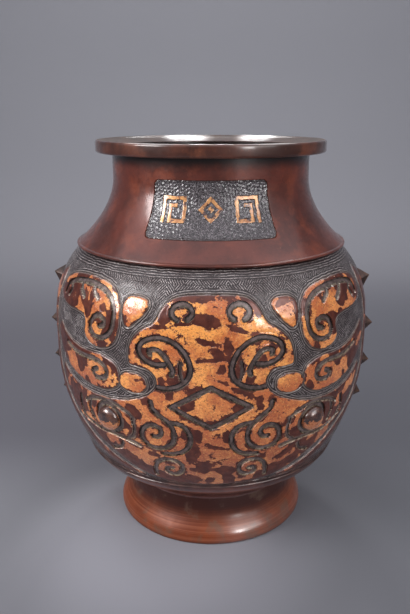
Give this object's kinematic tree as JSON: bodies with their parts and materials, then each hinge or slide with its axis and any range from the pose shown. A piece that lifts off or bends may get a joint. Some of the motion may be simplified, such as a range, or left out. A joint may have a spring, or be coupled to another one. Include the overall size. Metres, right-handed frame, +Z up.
{
  "type": "bronze vase",
  "caption": "Round-bellied bronze flower vase with a waisted neck, thick dished rim, flared foot, eye bosses and side studs.",
  "frame": {"origin": "on the vase's axis, at the middle of the face that the foot rests on", "axes": "+Z up along the vase's axis; the framed panel on the neck and the middle of the front mask face -Y; +X to the right of someone facing the panel"},
  "size_m": [0.2532, 0.2438, 0.3],
  "materials": {
    "brown_bronze": "smooth red-brown patina, waxed",
    "copper_bronze": "smooth copper-brown patina with fine turning marks",
    "relief_bronze": "carved relief, worn gilding over dark red-brown, grey grooves",
    "dark_bronze": "dark brown patina",
    "grey_bronze": "dark grey matted ground with raised gilt ornament"
  },
  "bodies": {
    "root": {"foot_ring": "copper_bronze", "base_plate": "dark_bronze", "lower_bowl": "brown_bronze", "belly": "relief_bronze", "neck": "brown_bronze", "neck_panel": "grey_bronze", "rim_ring": "brown_bronze", "eye_front_left": "dark_bronze", "eye_front_right": "dark_bronze", "eye_back_left": "dark_bronze", "eye_back_right": "dark_bronze", "stud_left_1": "dark_bronze", "stud_left_2": "dark_bronze", "stud_left_3": "dark_bronze", "stud_left_4": "dark_bronze", "stud_right_1": "dark_bronze", "stud_right_2": "dark_bronze", "stud_right_3": "dark_bronze", "stud_right_4": "dark_bronze"}
  },
  "joints": []
}
